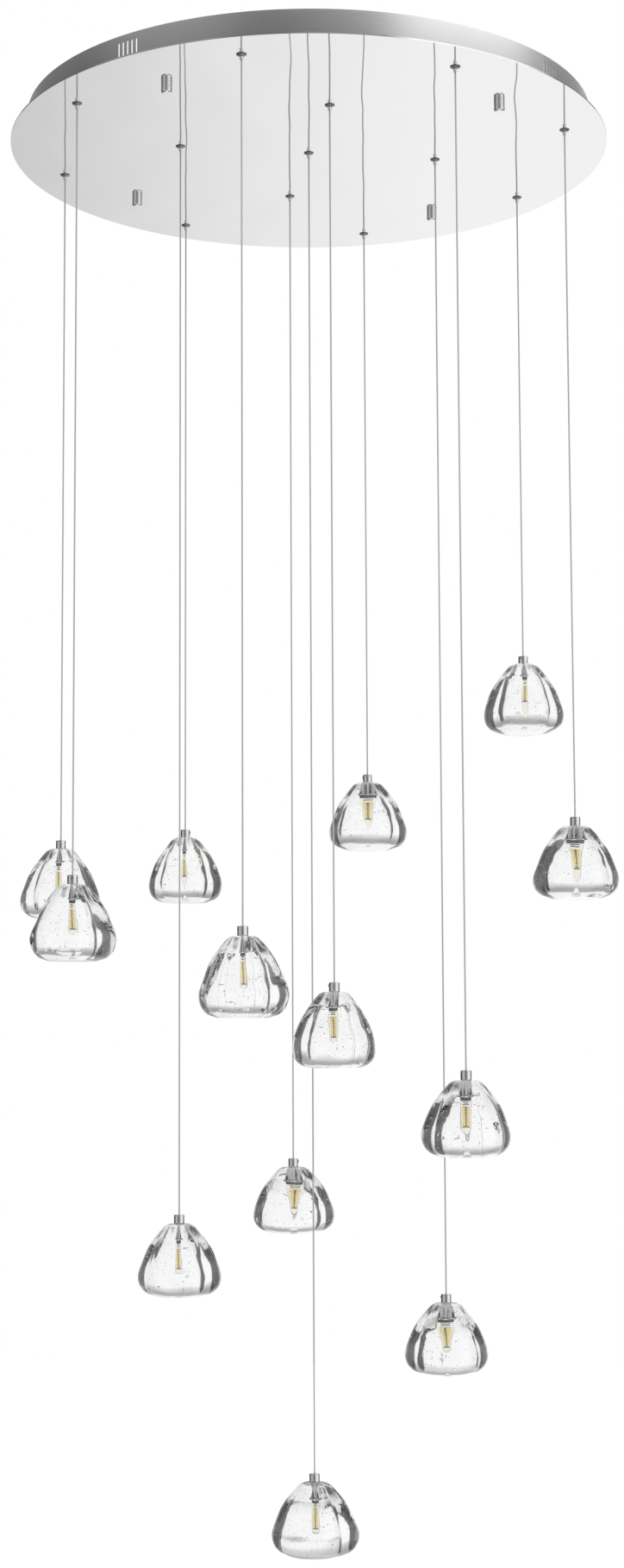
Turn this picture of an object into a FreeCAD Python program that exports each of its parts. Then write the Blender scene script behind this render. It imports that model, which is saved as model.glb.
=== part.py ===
"""A chandelier of thirteen lobed glass pendants that hang on thin cables from a round canopy.

Lengths are in millimetres and angles in degrees. The origin is on the ceiling, at the middle of
the ceiling bracket, +Z points up, and the photograph's view looks along +Y.
"""
import FreeCAD, Part
import math
import os

from FreeCAD import Vector

# Canopy: a mirror plate, the rim band that stands on it, and the bracket on the ceiling
canopy_height = 40.0
plate_diameter = 800.0
plate_thickness = 2.0
plate_overhang = 22.0
band_wall = 1.2
band_flange_width = 14.0
band_hem_width = 5.0

# Vents: upright slots through the band, in groups
vent_groups = 4
vents_in_group = 5
vent_width = 2.5
vent_length = 21.0
vent_pitch = 7.0
vent_to_ceiling = 9.0

# Hole pattern of the plate: one hole in the middle, an inner ring and an outer ring
pattern_turn = 9.55
inner_ring_radius = 174.0
inner_ring_count = 4
outer_ring_inset = 53.0
outer_ring_count = 8

# Ceiling bracket: crossed steel arms with a stud near each end
stud_inset = 98.0
stud_diameter = 5.0
stud_in_nut = 8.0
stud_hole_clearance = 0.6
arm_width = 25.0
arm_beyond_stud = 16.0
bracket_thickness = 2.5
hub_diameter = 80.0
supply_hole_diameter = 20.0
ceiling_hole_diameter = 5.5
ceiling_hole_circle_diameter = 200.0

# Cap nuts, screwed on the studs from below
nut_diameter = 14.0
nut_height = 12.0
nut_edge_radius = 3.0
nut_grooves = 2
nut_groove_depth = 0.5
nut_groove_width = 1.0
nut_groove_pitch = 3.0
nut_top_to_groove = 2.0
thread_clearance = 0.05

# Cable glands: a thin domed disc and a short stem below the plate, a hexagon nut above it
gland_disc_diameter = 13.0
gland_disc_thickness = 2.6
gland_rim_thickness = 0.7
gland_dome_share = 0.6
gland_stem_diameter = 4.4
gland_stem_length = 5.0
gland_shank_diameter = 8.0
gland_shank_above_plate = 9.0
gland_bore_diameter = 3.0
gland_hole_clearance = 0.2
gland_nut_sides = 6
gland_nut_width = 12.0
gland_nut_height = 4.0

# Suspension cables
cable_diameter = 2.0
cable_in_gland = 3.0
longest_drop = 1742.0

# Lamp holders: a cap on the glass and a tapered tube inside it, turned in one piece
cap_diameter = 13.5
cap_height = 12.0
cap_edge = 0.6
tube_top_diameter = 8.4
tube_end_diameter = 10.6
tube_length = 24.0
holder_bore_diameter = 2.6
set_screw_diameter = 3.0
set_screw_proud = 0.6
set_screw_below_cap_top = 4.0
set_screw_clearance = 0.1
grip_clearance = 0.15
ring_diameter = 14.0
ring_thickness = 2.2
socket_diameter = 9.0
socket_height = 5.0

# Lamps: a two-pin base and a clear capsule round a strip with a light bar on each side
lamp_diameter = 9.0
lamp_base_height = 7.0
capsule_length = 29.0
capsule_wall = 0.8
pin_diameter = 0.8
pin_pitch = 4.0
pin_in_socket = 4.0
pin_clearance = 0.1
strip_width = 6.6
strip_thickness = 1.0
strip_length = 24.0
bar_width = 2.4
bar_thickness = 0.6
bar_length = 22.0
cable_to_socket = 0.2

# Glasses: solid castings of three lobes, flat on top and below, with a bore for the lamp
glass_width = 110.0
glass_height = 96.0
glass_bore_diameter = 14.8
glass_bore_depth = 71.0
crest_to_width_share = 1.02
side_lobe_share = 0.985

# Wiring on the plate, from the glands and the driver to the junction block
lead_diameter = 2.0
lead_height_below_ceiling = 15.0
lead_bend_radius = 11.0
lead_in_gland = 3.0
lead_in_block = 12.0
port_clearance = 0.2
junction_diameter = 96.0
junction_height = 20.0
junction_recess_diameter = 24.0
junction_recess_depth = 6.0
driver_length = 120.0
driver_width = 44.0
driver_height = 22.0
driver_circle_radius = 225.0
driver_corner_radius = 4.0
driver_port_height = 12.0
supply_lead_spacing = 20.0
supply_lead_run = 30.0

# A cut runs past the solid by this much
overrun = 1.0

# Each pendant, the middle hole first, then the inner ring and the outer ring, each from its
# first hole round to the left: its drop as a share of the longest one, its width and height
# as shares of the glass, and the turns of its left and right crease and of its set screw
# from the front.
drop_shares = (
    1.0, 0.8724, 0.7757, 0.8112, 0.6436, 0.379, 0.464, 0.5114, 0.530, 0.567, 0.608, 0.7052, 0.522)
width_shares = (
    1.04, 1.00, 1.03, 0.98, 0.965, 1.025, 1.035, 0.965, 0.98, 0.99, 0.985, 0.985, 1.015)
height_shares = (
    0.93, 0.93, 0.91, 0.94, 0.97, 1.00, 1.01, 0.96, 0.97, 0.98, 0.99, 0.93, 0.96)
left_creases = (-64, -54, -63, -57, -43, -50, -57, -48, -41, -66, -68, -55, -62)
right_creases = (41, 57, 48, 46, 67, 42, 48, 47, 69, 38, 37, 66, 54)
screw_turns = (150, -80, 80, 170, -75, 200, -85, 85, 160, 0, 190, 140, -150)

# The outline of a glass from its top down: share of the height, share of the widest lobe
# crest, and share of that crest which is left at a crease.
outline_shares = (
    (0.00, 0.27, 0.92),
    (0.04, 0.38, 0.90),
    (0.17, 0.57, 0.885),
    (0.34, 0.77, 0.875),
    (0.52, 0.90, 0.875),
    (0.71, 1.00, 0.875),
    (0.86, 0.95, 0.885),
    (0.955, 0.79, 0.91),
    (1.00, 0.56, 0.94),
)

# Sizes that follow the plate, each set in from its edge
band_diameter = plate_diameter - 2 * plate_overhang
outer_ring_radius = plate_diameter / 2 - outer_ring_inset
stud_circle_radius = plate_diameter / 2 - stud_inset

# Levels that several pieces share
ceiling_z = 0.0
plate_bottom_z = -canopy_height
plate_top_z = plate_bottom_z + plate_thickness
bracket_bottom_z = -bracket_thickness
gland_tip_z = plate_bottom_z - gland_disc_thickness - gland_stem_length
gland_top_z = plate_top_z + gland_shank_above_plate
lead_z = -lead_height_below_ceiling
up = Vector(0, 0, 1)
front_angle = -90.0
whole_turn = 360.0
diagonal_share = math.sqrt(0.5)


def polar(radius, angle, z=0.0):
    """The point at a radius and an angle in plan."""
    turn = math.radians(angle)
    return Vector(radius * math.cos(turn), radius * math.sin(turn), z)


def rod(diameter, length, base, direction=up):
    """A plain cylinder that starts at a point."""
    return Part.makeCylinder(diameter / 2, length, base, direction)


def turned(profile, axis_point):
    """A closed profile of (radius, z) points turned about an upright axis."""
    points = [Vector(radius, 0, z) for radius, z in profile]
    face = Part.Face(Part.makePolygon(points + points[:1]))
    solid = face.revolve(Vector(0, 0, 0), up, whole_turn)
    solid.translate(axis_point)
    return solid


def turned_edges(edges, axis_point):
    """A closed profile of edges in the XZ plane turned about an upright axis."""
    face = Part.Face(Part.Wire(edges))
    solid = face.revolve(Vector(0, 0, 0), up, whole_turn)
    solid.translate(axis_point)
    return solid


def line(start, end):
    """A straight edge between two (radius, z) points of a profile."""
    return Part.LineSegment(Vector(start[0], 0, start[1]), Vector(end[0], 0, end[1])).toShape()


def arc(start, middle, end):
    """A round edge through three (radius, z) points of a profile."""
    points = [Vector(radius, 0, z) for radius, z in (start, middle, end)]
    return Part.Arc(*points).toShape()


def save(name, solids):
    """Write one named piece, or a group of separate solids, as a STEP file."""
    shape = solids[0] if len(solids) == 1 else Part.makeCompound(solids)
    if not shape.isValid():
        print("not valid:", name)
    shape.exportStep("parts/" + name + ".step")


def ring_places(radius, count, first_angle):
    """Evenly spaced (radius, angle) places on a ring."""
    step = whole_turn / count
    return [(radius, first_angle + step * place) for place in range(count)]


def gland_places():
    """The (radius, angle) of every gland: the middle, the inner ring, the outer ring."""
    half_outer_step = whole_turn / outer_ring_count / 2
    inner = ring_places(inner_ring_radius, inner_ring_count, pattern_turn)
    outer = ring_places(outer_ring_radius, outer_ring_count, pattern_turn + half_outer_step)
    return [(0.0, pattern_turn)] + inner + outer


def stud_places():
    """The (radius, angle) of every stud, halfway between the inner ring's holes."""
    half_inner_step = whole_turn / inner_ring_count / 2
    return ring_places(stud_circle_radius, inner_ring_count, pattern_turn + half_inner_step)


def stud_angles():
    """The direction of every stud."""
    return [place[1] for place in stud_places()]


# Canopy

def mirror_plate():
    """The round plate with its gland holes and stud holes."""
    plate = rod(plate_diameter, plate_thickness, Vector(0, 0, plate_bottom_z))
    depth = plate_thickness + 2 * overrun
    below = plate_bottom_z - overrun
    gland_hole = gland_shank_diameter + 2 * gland_hole_clearance
    stud_hole = stud_diameter + 2 * stud_hole_clearance
    cuts = [rod(gland_hole, depth, polar(*place, below)) for place in gland_places()]
    cuts += [rod(stud_hole, depth, polar(*place, below)) for place in stud_places()]
    return plate.cut(cuts)


def vent_slot(angle):
    """The round-ended upright slot of one vent, as a solid that crosses the band's wall."""
    reach = band_wall + 2 * overrun
    top = ceiling_z - vent_to_ceiling - vent_width / 2
    bottom = ceiling_z - vent_to_ceiling - vent_length + vent_width / 2
    start_radius = band_diameter / 2 - band_wall - overrun
    outward = polar(overrun, angle)
    ends = [rod(vent_width, reach, polar(start_radius, angle, z), outward) for z in (top, bottom)]
    middle = Part.makeBox(reach, vent_width, top - bottom)
    middle.translate(Vector(start_radius, -vent_width / 2, bottom))
    middle.rotate(Vector(0, 0, 0), up, angle)
    return ends[0].fuse([ends[1], middle])


def rim_band():
    """The upright band: a wall, a flange bonded to the plate and a hem at the ceiling."""
    outer = band_diameter / 2
    inner = outer - band_wall
    band = turned([
        (outer, plate_top_z),
        (outer, ceiling_z),
        (outer - band_hem_width, ceiling_z),
        (outer - band_hem_width, ceiling_z - band_wall),
        (inner, ceiling_z - band_wall),
        (inner, plate_top_z + band_wall),
        (outer - band_flange_width, plate_top_z + band_wall),
        (outer - band_flange_width, plate_top_z),
    ], Vector(0, 0, 0))
    pitch_angle = math.degrees(vent_pitch / outer)
    slots = []
    for group in range(vent_groups):
        group_angle = stud_angles()[0] + group * whole_turn / vent_groups
        for vent in range(vents_in_group):
            slots.append(vent_slot(group_angle + (vent - (vents_in_group - 1) / 2) * pitch_angle))
    return band.cut(slots)


def ceiling_bracket():
    """Two crossed arms with a hub, ceiling screw holes and four studs welded in."""
    arm_length = 2 * (stud_circle_radius + arm_beyond_stud)
    solids = [rod(hub_diameter, bracket_thickness, Vector(0, 0, bracket_bottom_z))]
    for angle in stud_angles()[:2]:
        arm = Part.makeBox(arm_length, arm_width, bracket_thickness)
        arm.translate(Vector(-arm_length / 2, -arm_width / 2, bracket_bottom_z))
        arm.rotate(Vector(0, 0, 0), up, angle)
        solids.append(arm)
    stud_length = canopy_height + stud_in_nut - bracket_thickness
    for place in stud_places():
        foot = polar(*place, bracket_bottom_z)
        solids.append(rod(stud_diameter, stud_length, foot, -up))
    bracket = solids[0].fuse(solids[1:]).removeSplitter()
    depth = bracket_thickness + 2 * overrun
    below = bracket_bottom_z - overrun
    cuts = [rod(supply_hole_diameter, depth, Vector(0, 0, below))]
    for angle in stud_angles():
        middle = polar(ceiling_hole_circle_diameter / 2, angle, below)
        cuts.append(rod(ceiling_hole_diameter, depth, middle))
    return bracket.cut(cuts)


def cap_nut(place):
    """A round nut with a closed, rounded end and shallow grooves round its side."""
    radius = nut_diameter / 2
    bore = stud_diameter / 2 + thread_clearance
    bore_end = -stud_in_nut - thread_clearance
    flat = radius - nut_edge_radius
    slant = nut_edge_radius * (1 - diagonal_share)
    edge_start = (radius, -nut_height + nut_edge_radius)
    edge_middle = (radius - slant, -nut_height + slant)
    edge_end = (flat, -nut_height)
    edges = [
        line((bore, 0), (radius, 0)),
        line((radius, 0), edge_start),
        arc(edge_start, edge_middle, edge_end),
        line(edge_end, (0, -nut_height)),
        line((0, -nut_height), (0, bore_end)),
        line((0, bore_end), (bore, bore_end)),
        line((bore, bore_end), (bore, 0)),
    ]
    nut = turned_edges(edges, Vector(0, 0, 0))
    for groove in range(nut_grooves):
        top = -nut_top_to_groove - groove * nut_groove_pitch
        inside = radius - nut_groove_depth
        outside = radius + overrun
        nut = nut.cut(turned([
            (inside, top - nut_groove_width / 2),
            (outside, top - nut_groove_width / 2),
            (outside, top + nut_groove_width / 2),
            (inside, top + nut_groove_width / 2),
        ], Vector(0, 0, 0)))
    nut.translate(polar(*place, plate_bottom_z))
    return nut


def gland_body(place):
    """The disc, stem and threaded shank of one cable gland, with its bore."""
    disc = gland_disc_diameter / 2
    stem = gland_stem_diameter / 2
    shank = gland_shank_diameter / 2
    bore = gland_bore_diameter / 2
    top = plate_thickness + gland_shank_above_plate
    tip = -gland_disc_thickness - gland_stem_length
    dome_z = -(gland_rim_thickness + gland_disc_thickness) * gland_dome_share
    dome_middle = ((disc + stem) / 2, dome_z)
    edges = [
        line((bore, tip), (stem, tip)),
        line((stem, tip), (stem, -gland_disc_thickness)),
        arc((stem, -gland_disc_thickness), dome_middle, (disc, -gland_rim_thickness)),
        line((disc, -gland_rim_thickness), (disc, 0)),
        line((disc, 0), (shank, 0)),
        line((shank, 0), (shank, top)),
        line((shank, top), (bore, top)),
        line((bore, top), (bore, tip)),
    ]
    return turned_edges(edges, polar(*place, plate_bottom_z))


def gland_nut(place):
    """The hexagon nut on the shank of one gland, flat on the plate."""
    across_corners = gland_nut_width / math.cos(math.pi / gland_nut_sides)
    step = whole_turn / gland_nut_sides
    corners = [polar(across_corners / 2, corner * step) for corner in range(gland_nut_sides)]
    prism = Part.Face(Part.makePolygon(corners + corners[:1])).extrude(up * gland_nut_height)
    bore = gland_shank_diameter + 2 * thread_clearance
    nut = prism.cut(rod(bore, gland_nut_height + 2 * overrun, Vector(0, 0, -overrun)))
    nut.translate(polar(*place, plate_top_z))
    return nut


# Wiring

def tube(points, diameter):
    """A round lead along straight runs that are joined by tangent arcs."""
    edges = []
    start = points[0]
    for before, corner, after in zip(points, points[1:], points[2:]):
        back = (before - corner).normalize()
        ahead = (after - corner).normalize()
        half_turn = (math.pi - back.getAngle(ahead)) / 2
        inset = lead_bend_radius * math.tan(half_turn)
        leave = corner + back * inset
        join = corner + ahead * inset
        to_middle = (back + ahead).normalize()
        crest = lead_bend_radius / math.cos(half_turn) - lead_bend_radius
        edges.append(Part.LineSegment(start, leave).toShape())
        edges.append(Part.Arc(leave, corner + to_middle * crest, join).toShape())
        start = join
    edges.append(Part.LineSegment(start, points[-1]).toShape())
    path = Part.Wire(edges)
    direction = points[1] - points[0]
    profile = Part.Wire(Part.Circle(points[0], direction, diameter / 2).toShape())
    return path.makePipeShell([profile], True, False)


def pendant_lead(place):
    """The lead of one pendant, up out of its gland and across to the junction block."""
    radius, angle = place
    start = polar(radius, angle, gland_top_z - lead_in_gland)
    if radius == 0:
        block_bottom = bracket_bottom_z - junction_height
        end = Vector(0, 0, block_bottom + lead_in_block / 2)
        return rod(lead_diameter, end.z - start.z, start)
    corner = polar(radius, angle, lead_z)
    end = polar(junction_diameter / 2 - lead_in_block, angle, lead_z)
    return tube([start, corner, end], lead_diameter)


def supply_angle():
    """The direction of the driver, along the second stud."""
    return stud_angles()[1]


def beside(point, sideways):
    """A point moved at right angles to the driver's direction."""
    return point + polar(sideways, supply_angle() + whole_turn / 4)


def supply_lead(side):
    """A lead from the driver's port to the junction block."""
    angle = supply_angle()
    port_z = plate_top_z + driver_port_height
    face = driver_circle_radius - driver_width / 2
    block = junction_diameter / 2
    route = [
        polar(face + lead_in_block / 2, angle, port_z),
        polar(face - supply_lead_run, angle, port_z),
        polar(block + supply_lead_run, angle, lead_z),
        polar(block - lead_in_block, angle, lead_z),
    ]
    return tube([beside(point, side * supply_lead_spacing / 2) for point in route], lead_diameter)


def port(start, end):
    """The hole that a lead's end goes into, from its bottom to past the surface."""
    way = start - end
    length = way.Length + overrun
    return rod(lead_diameter + 2 * port_clearance, length, end, way)


def junction_block():
    """The round terminal block under the bracket's hub, with a port for every lead."""
    radius = junction_diameter / 2
    bottom = bracket_bottom_z - junction_height
    block = rod(junction_diameter, junction_height, Vector(0, 0, bottom))
    recess = Vector(0, 0, bracket_bottom_z - junction_recess_depth)
    cuts = [rod(junction_recess_diameter, junction_recess_depth + overrun, recess)]
    depth = radius - lead_in_block - port_clearance
    for place_radius, angle in gland_places()[1:]:
        cuts.append(port(polar(radius, angle, lead_z), polar(depth, angle, lead_z)))
    for side in (-1, 1):
        ends = [polar(reach, supply_angle(), lead_z) for reach in (radius, depth)]
        cuts.append(port(*[beside(end, side * supply_lead_spacing / 2) for end in ends]))
    middle_depth = bottom + lead_in_block / 2 + port_clearance
    cuts.append(port(Vector(0, 0, bottom), Vector(0, 0, middle_depth)))
    return block.cut(cuts)


def lamp_driver():
    """The driver's case, flat on the plate, with its two ports."""
    angle = supply_angle()
    case = Part.makeBox(driver_width, driver_length, driver_height)
    case.translate(Vector(driver_circle_radius - driver_width / 2, -driver_length / 2, plate_top_z))
    upright = [edge for edge in case.Edges if edge.BoundBox.ZLength > driver_height / 2]
    case = case.makeFillet(driver_corner_radius, upright)
    case.rotate(Vector(0, 0, 0), up, angle)
    face = driver_circle_radius - driver_width / 2
    port_z = plate_top_z + driver_port_height
    ends = [polar(face, angle, port_z)]
    ends.append(polar(face + lead_in_block / 2 + port_clearance, angle, port_z))
    sides = [side * supply_lead_spacing / 2 for side in (-1, 1)]
    return case.cut([port(*[beside(end, side) for end in ends]) for side in sides])


# Pendants

def cap_top_z(drop):
    """The height of a pendant's cap top."""
    return plate_bottom_z - drop


def cable(place, drop):
    """The straight cable from inside the gland to the lamp socket."""
    top = polar(*place, gland_tip_z + cable_in_gland)
    bottom_z = cap_top_z(drop) - cap_height - tube_length - ring_thickness + cable_to_socket
    print("cable from z", round(top.z, 1), "to", round(bottom_z, 1), "length", round(top.z - bottom_z, 1))
    return rod(cable_diameter, top.z - bottom_z, top, -up)


def lamp_holder(place, drop, screw_angle):
    """The turned cap and tube, the retaining ring, the socket insert and the set screw."""
    cap = cap_diameter / 2
    bore = holder_bore_diameter / 2
    seat = -cap_height
    tube_end = seat - tube_length
    body = turned([
        (bore, 0),
        (cap - cap_edge, 0),
        (cap, -cap_edge),
        (cap, seat),
        (tube_top_diameter / 2, seat),
        (tube_end_diameter / 2, tube_end),
        (bore, tube_end),
    ], Vector(0, 0, 0))
    screw_start = polar(cable_diameter / 2 + grip_clearance, screw_angle, -set_screw_below_cap_top)
    outward = polar(overrun, screw_angle)
    screw_length = cap + set_screw_proud - cable_diameter / 2 - grip_clearance
    hole_width = set_screw_diameter + 2 * set_screw_clearance
    body = body.cut(rod(hole_width, cap_diameter, screw_start, outward))
    screw = rod(set_screw_diameter, screw_length, screw_start, outward)
    ring = turned([
        (bore, tube_end),
        (ring_diameter / 2, tube_end),
        (ring_diameter / 2, tube_end - ring_thickness),
        (bore, tube_end - ring_thickness),
    ], Vector(0, 0, 0))
    socket_base = Vector(0, 0, tube_end - ring_thickness - socket_height)
    socket = rod(socket_diameter, socket_height, socket_base)
    hole_depth = pin_in_socket + pin_clearance
    for side in (-1, 1):
        hole_start = socket_base + Vector(side * pin_pitch / 2, 0, -overrun)
        socket = socket.cut(rod(pin_diameter + 2 * pin_clearance, hole_depth + overrun, hole_start))
    solids = [body, ring, socket, screw]
    for solid in solids:
        solid.translate(polar(*place, cap_top_z(drop)))
    return solids


def lamp(place, drop):
    """The base with its two pins, the clear capsule, and the strip with its two light bars."""
    radius = lamp_diameter / 2
    inside = radius - capsule_wall
    base = rod(lamp_diameter, lamp_base_height, Vector(0, 0, -lamp_base_height))
    pins = []
    for side in (-1, 1):
        pins.append(rod(pin_diameter, pin_in_socket, Vector(side * pin_pitch / 2, 0, 0)))
    base = base.fuse(pins)
    start = -lamp_base_height
    shoulder = start - capsule_length + radius
    outer_slant = radius * diagonal_share
    inner_slant = inside * diagonal_share
    outer_middle = (outer_slant, shoulder - outer_slant)
    inner_middle = (inner_slant, shoulder - inner_slant)
    edges = [
        line((inside, start), (radius, start)),
        line((radius, start), (radius, shoulder)),
        arc((radius, shoulder), outer_middle, (0, shoulder - radius)),
        line((0, shoulder - radius), (0, shoulder - inside)),
        arc((0, shoulder - inside), inner_middle, (inside, shoulder)),
        line((inside, shoulder), (inside, start)),
    ]
    capsule = turned_edges(edges, Vector(0, 0, 0))
    strip = Part.makeBox(strip_width, strip_thickness, strip_length)
    strip.translate(Vector(-strip_width / 2, -strip_thickness / 2, start - strip_length))
    solids = [base, capsule, strip]
    for side in (-1, 1):
        bar = Part.makeBox(bar_width, bar_thickness, bar_length)
        middle = side * (strip_width - bar_width) / 2
        front = -strip_thickness / 2 - bar_thickness
        bar.translate(Vector(middle - bar_width / 2, front, start - bar_length))
        solids.append(bar)
    socket_bottom = cap_height + tube_length + ring_thickness + socket_height
    for solid in solids:
        solid.translate(polar(*place, cap_top_z(drop) - socket_bottom))
    return solids


def lobed_section(z, crest, crease_share, creases):
    """A closed outline of three arcs that meet at the creases."""
    edges = []
    for number, start in enumerate(creases):
        end = creases[(number + 1) % len(creases)]
        span = (end - start) % whole_turn
        reach = crest if number == 0 else crest * side_lobe_share
        edges.append(Part.Arc(
            polar(crest * crease_share, front_angle + start, z),
            polar(reach, front_angle + start + span / 2, z),
            polar(crest * crease_share, front_angle + end, z),
        ).toShape())
    return Part.Wire(edges)


def glass(place, drop, width_share, height_share, left_crease, right_crease):
    """A casting of three lobes, lofted from its flat top to its flat base, with its bore."""
    width = glass_width * width_share
    height = glass_height * height_share
    back_crease = (left_crease + right_crease) / 2 + whole_turn / 2
    creases = (left_crease, right_crease, back_crease)
    sections = []
    for height_down_share, crest_share, crease_share in outline_shares:
        crest = width / 2 * crest_to_width_share * crest_share
        sections.append(lobed_section(-height * height_down_share, crest, crease_share, creases))
    body = Part.makeLoft(sections, True, False)
    bore_radius = glass_bore_diameter / 2
    bore_end = -glass_bore_depth + bore_radius
    bore = rod(glass_bore_diameter, overrun - bore_end, Vector(0, 0, bore_end))
    rounded_end = Part.makeSphere(bore_radius, Vector(0, 0, bore_end))
    body = body.cut(bore.fuse(rounded_end))
    body.translate(polar(*place, cap_top_z(drop) - cap_height))
    return body


os.makedirs("parts", exist_ok=True)
places = gland_places()
save("mirror_plate", [mirror_plate()])
save("rim_band", [rim_band()])
save("ceiling_bracket", [ceiling_bracket()])
save("cap_nuts", [cap_nut(place) for place in stud_places()])
save("cable_glands", [piece(place) for place in places for piece in (gland_body, gland_nut)])
save("junction_block", [junction_block()])
save("lamp_driver", [lamp_driver()])
leads = [pendant_lead(place) for place in places]
leads += [supply_lead(side) for side in (-1, 1)]
save("internal_wiring", leads)
print("bend radius of the leads on the plate", lead_bend_radius)
for number, place in enumerate(places):
    label = "%02d" % (number + 1)
    drop = longest_drop * drop_shares[number]
    creases = (left_creases[number], right_creases[number])
    save("cable_" + label, [cable(place, drop)])
    save("lamp_holder_" + label, lamp_holder(place, drop, front_angle + screw_turns[number]))
    save("lamp_" + label, lamp(place, drop))
    body = glass(place, drop, width_shares[number], height_shares[number], *creases)
    save("glass_" + label, [body])
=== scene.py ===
# %% [markdown]
# A chandelier of thirteen cast glasses on thin cables, under a round mirror canopy.
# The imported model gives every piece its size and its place. This file gives each one its finish,
# and makes the glasses, the lamps and the turned metal again as smooth surfaces, because light
# that is bent or mirrored shows every flat facet.

# %% Load the model as a fixed frame
import bpy
import math
import numpy as np

from mathutils import Matrix, Vector


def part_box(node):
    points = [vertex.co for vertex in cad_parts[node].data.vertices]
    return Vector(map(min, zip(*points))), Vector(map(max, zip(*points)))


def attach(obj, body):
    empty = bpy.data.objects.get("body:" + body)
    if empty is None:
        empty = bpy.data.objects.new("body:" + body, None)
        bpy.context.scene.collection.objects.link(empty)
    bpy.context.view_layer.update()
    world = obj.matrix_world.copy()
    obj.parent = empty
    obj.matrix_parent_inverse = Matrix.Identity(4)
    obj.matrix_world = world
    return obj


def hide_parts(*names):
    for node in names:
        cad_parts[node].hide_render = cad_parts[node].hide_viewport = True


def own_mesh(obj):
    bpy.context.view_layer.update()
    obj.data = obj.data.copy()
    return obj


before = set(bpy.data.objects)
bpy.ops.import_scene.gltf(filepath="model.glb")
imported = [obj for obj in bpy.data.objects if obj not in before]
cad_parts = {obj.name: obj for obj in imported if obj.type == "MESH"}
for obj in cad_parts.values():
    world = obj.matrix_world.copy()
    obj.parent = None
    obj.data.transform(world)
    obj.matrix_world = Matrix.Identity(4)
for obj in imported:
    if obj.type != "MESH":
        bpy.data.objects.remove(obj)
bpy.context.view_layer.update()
LABELS = ["%02d" % number for number in range(1, 14)]
MM = 0.001

# %% [markdown]
# The camera stands where the photograph was taken from: a little right of the middle, below the
# canopy and above the lowest glass, tilted up. Its place and its focal length come from the
# plate's outline and hole pattern in the picture. The picture is taller than wide, so the
# sensor's width belongs to the picture's height.

# %% Camera
PICTURE_HEIGHT = 1818
FOCAL_PIXELS = 2884.8
SENSOR = 36.0
CAMERA_PLACE = Vector((0.0342, -3.2524, -1.2383))
CAMERA_YAW, CAMERA_PITCH, CAMERA_ROLL = (math.radians(angle) for angle in (-0.591, 5.995, -0.251))


def camera_turn(yaw, pitch, roll):
    """The camera's three axes as a matrix: right and up are turned by the roll about the view."""
    ahead = Vector((math.sin(yaw) * math.cos(pitch), math.cos(yaw) * math.cos(pitch), math.sin(pitch)))
    level = Vector((math.cos(yaw), -math.sin(yaw), 0))
    upright = level.cross(ahead)
    right = level * math.cos(roll) + upright * math.sin(roll)
    up = upright * math.cos(roll) - level * math.sin(roll)
    return Matrix((right, up, -ahead)).transposed()


camera_data = bpy.data.cameras.new("photograph_camera")
camera_data.sensor_width = SENSOR
camera_data.lens = SENSOR * FOCAL_PIXELS / PICTURE_HEIGHT
camera_data.clip_start, camera_data.clip_end = 0.05, 60
camera = bpy.data.objects.new("photograph_camera", camera_data)
camera.matrix_world = Matrix.Translation(CAMERA_PLACE) @ camera_turn(
    CAMERA_YAW, CAMERA_PITCH, CAMERA_ROLL).to_4x4()
bpy.context.scene.collection.objects.link(camera)
bpy.context.scene.camera = camera
bpy.context.scene.view_settings.view_transform = "Standard"
print("focal length", round(camera_data.lens, 2), "mm")

# %% [markdown]
# A material is a small graph of nodes round one Principled shader. These helpers keep the graphs
# short to write: they start a material, add a node, link two sockets or set a value, and make the
# sums, mixes and noise that come up all the time.

# %% Helpers for node graphs
def principled(name, **values):
    """A node material with its Principled shader's sockets set by name."""
    material = bpy.data.materials.new(name)
    material.use_nodes = True
    shader = material.node_tree.nodes["Principled BSDF"]
    for socket, value in values.items():
        shader.inputs[socket.replace("_", " ")].default_value = value
    return material


def to_shader(material, socket, source):
    """Links an output to a socket of the material's Principled shader."""
    tree = material.node_tree
    tree.links.new(source, tree.nodes["Principled BSDF"].inputs[socket])


def add_node(tree, kind, **settings):
    """A shader node with its properties set by name."""
    node = tree.nodes.new(kind)
    for name, value in settings.items():
        setattr(node, name, value)
    return node


def connect(tree, source, target):
    """Links an output socket to an input socket, or sets the input where the source is a value."""
    if isinstance(source, bpy.types.NodeSocket):
        tree.links.new(source, target)
    else:
        target.default_value = source


def maths(tree, operation, first, second=0.0, third=0.0):
    """The output of a Math node on sockets or numbers."""
    node = add_node(tree, "ShaderNodeMath", operation=operation)
    for source, target in zip((first, second, third), node.inputs):
        connect(tree, source, target)
    return node.outputs[0]


def vector_maths(tree, operation, first, second):
    """The vector output of a Vector Math node."""
    node = add_node(tree, "ShaderNodeVectorMath", operation=operation)
    connect(tree, first, node.inputs[0])
    connect(tree, second, node.inputs[1])
    return node.outputs["Vector"]


def split_axes(tree, vector):
    """The X, Y and Z outputs of a Separate XYZ node."""
    node = add_node(tree, "ShaderNodeSeparateXYZ")
    connect(tree, vector, node.inputs[0])
    return node.outputs


def noise(tree, place, scale, detail=2.0):
    """The grey output of a Noise Texture node."""
    node = add_node(tree, "ShaderNodeTexNoise")
    for source, name in ((place, "Vector"), (scale, "Scale"), (detail, "Detail")):
        connect(tree, source, node.inputs[name])
    return node.outputs["Fac"]


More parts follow.
